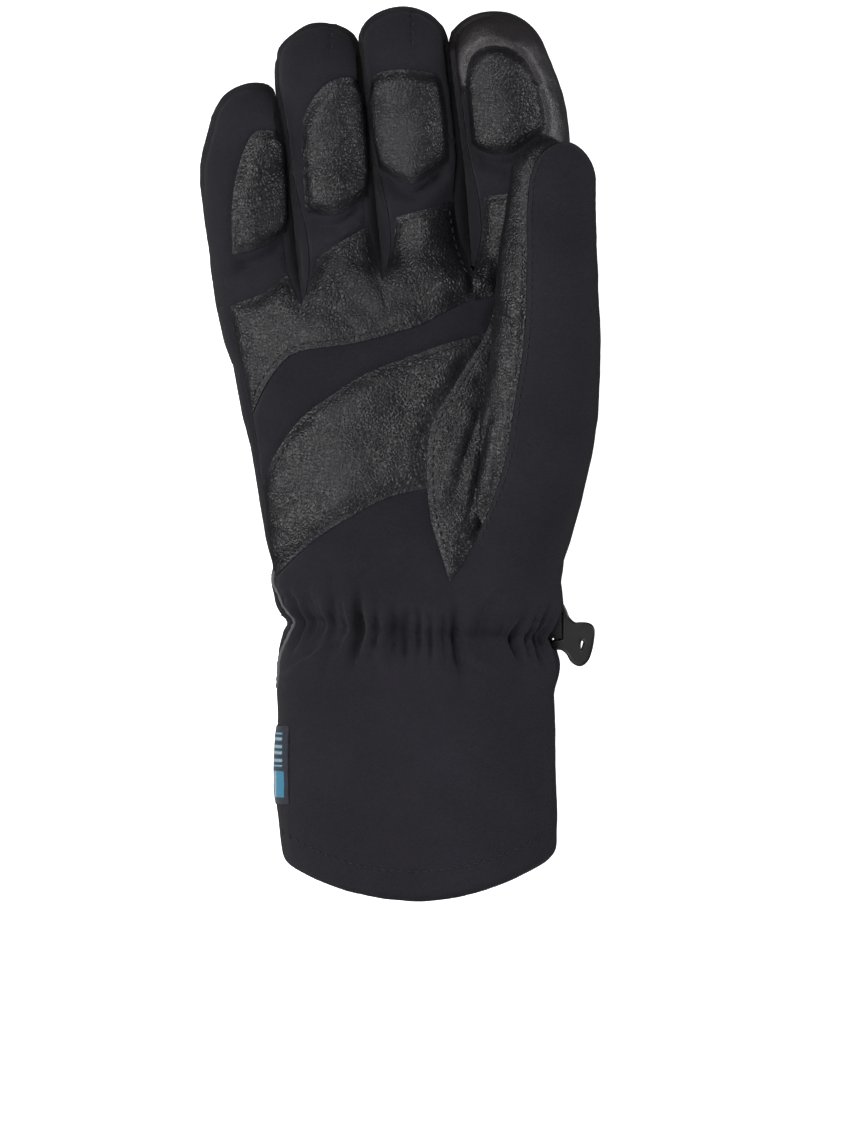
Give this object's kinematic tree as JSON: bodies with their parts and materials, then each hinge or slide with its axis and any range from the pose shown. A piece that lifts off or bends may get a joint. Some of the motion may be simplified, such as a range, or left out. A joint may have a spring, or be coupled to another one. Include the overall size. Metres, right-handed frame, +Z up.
{
  "type": "ski glove",
  "caption": "Right-hand padded ski glove with leather palm patches, gathered wrist, plain cuff and a side clip that links the pair.",
  "frame": {"origin": "bottom centre of the glove's box as it lies on its back", "axes": "+Y towards the finger tips, +X towards the thumb, +Z up out of the palm"},
  "size_m": [0.1276, 0.2906, 0.0656],
  "materials": {
    "pebbled_leather": "pebbled, satin",
    "smooth_leather": "smooth, satin",
    "softshell": "fine woven softshell, matt",
    "membrane": "thin film",
    "insulation": "fibre fill",
    "lining": "brushed tricot",
    "elastic": "ribbed elastic",
    "label": "woven label",
    "piping": "reflective piping",
    "webbing": "narrow webbing",
    "clip_plastic": "moulded gloss black"
  },
  "bodies": {
    "hand": {"upper_palm_leather": "pebbled_leather", "palm_flex_band": "softshell", "lower_palm_leather": "pebbled_leather", "palm_heel_fabric": "softshell", "thumb_gusset_leather": "pebbled_leather", "thumb_strip_leather": "pebbled_leather", "thumb_back_fabric": "softshell", "back_of_hand_shell": "softshell", "membrane_insert": "membrane", "palm_insulation": "insulation", "back_insulation": "insulation", "lining": "lining", "wrist_gather_shell": "softshell", "wrist_elastic": "elastic", "side_piping": "piping", "clip_webbing": "webbing", "pinky_flex_strip": "softshell", "pinky_root_insulation": "insulation", "ring_flex_strip": "softshell", "ring_root_insulation": "insulation", "middle_flex_strip": "softshell", "middle_root_insulation": "insulation", "index_flex_strip": "softshell", "index_root_insulation": "insulation", "thumb_root_insulation": "insulation"},
    "pinky_tip": {"pinky_pad": "pebbled_leather", "pinky_shell": "softshell", "pinky_tip_insulation": "insulation", "pinky_inner_side_wall": "softshell"},
    "ring_tip": {"ring_pad": "pebbled_leather", "ring_shell": "softshell", "ring_tip_insulation": "insulation", "ring_outer_side_wall": "softshell", "ring_inner_side_wall": "softshell"},
    "middle_tip": {"middle_pad": "pebbled_leather", "middle_shell": "softshell", "middle_tip_insulation": "insulation", "middle_outer_side_wall": "softshell", "middle_inner_side_wall": "softshell"},
    "index_tip": {"index_tip_cap": "smooth_leather", "index_pad": "pebbled_leather", "index_shell": "softshell", "index_tip_insulation": "insulation", "index_outer_side_wall": "softshell"},
    "thumb_tip": {"thumb_tip_insulation": "insulation"},
    "cuff": {"cuff_palm_panel": "softshell", "cuff_back_panel": "softshell", "cuff_insulation": "insulation", "hem_fold": "softshell", "side_label": "label"},
    "clip": {"clip_hook": "clip_plastic"}
  },
  "joints": [
    {"name": "pinky_bend", "type": "hinge", "parent": "hand", "child": "pinky_tip", "pos_m": [-0.04914, 0.0777, 0.02216], "axis": [0.9945, 0.1045, 0], "range_deg": [0, 60], "stiffness_Nm_per_rad": 0.05, "deforming": ["pinky_pad", "pinky_shell", "membrane_insert", "lining", "pinky_inner_side_wall"]},
    {"name": "ring_bend", "type": "hinge", "parent": "hand", "child": "ring_tip", "pos_m": [-0.02314, 0.0907, 0.02291], "axis": [0.9945, 0.1045, 0], "range_deg": [0, 60], "stiffness_Nm_per_rad": 0.05, "deforming": ["ring_pad", "ring_shell", "membrane_insert", "lining", "ring_outer_side_wall", "ring_inner_side_wall"]},
    {"name": "middle_bend", "type": "hinge", "parent": "hand", "child": "middle_tip", "pos_m": [0.00427, 0.0987, 0.0234], "axis": [0.9945, 0.1045, 0], "range_deg": [0, 60], "stiffness_Nm_per_rad": 0.05, "deforming": ["middle_pad", "middle_shell", "membrane_insert", "lining", "middle_outer_side_wall", "middle_inner_side_wall"]},
    {"name": "index_bend", "type": "hinge", "parent": "hand", "child": "index_tip", "pos_m": [0.03282, 0.1077, 0.02422], "axis": [0.9945, 0.1045, 0], "range_deg": [0, 60], "stiffness_Nm_per_rad": 0.05, "deforming": ["index_pad", "index_shell", "membrane_insert", "lining", "index_outer_side_wall", "index_tip_cap"]},
    {"name": "thumb_bend", "type": "hinge", "parent": "hand", "child": "thumb_tip", "pos_m": [0.04723, 0.0627, 0.04926], "axis": [0.5736, 0, 0.8191], "range_deg": [0, 50], "stiffness_Nm_per_rad": 0.05, "deforming": ["thumb_strip_leather", "thumb_back_fabric", "membrane_insert", "lining"]},
    {"name": "wrist_bend", "type": "hinge", "parent": "hand", "child": "cuff", "pos_m": [0.00642, -0.0593, 0.026], "axis": [1, 0, 0], "range_deg": [-25, 25], "stiffness_Nm_per_rad": 0.4, "deforming": ["wrist_gather_shell", "wrist_elastic", "side_piping", "lining"]},
    {"name": "clip_swing", "type": "hinge", "parent": "hand", "child": "clip", "pos_m": [0.05082, -0.0573, 0.026], "axis": [0, 1, 0], "range_deg": [-40, 40], "stiffness_Nm_per_rad": 0.004}
  ]
}
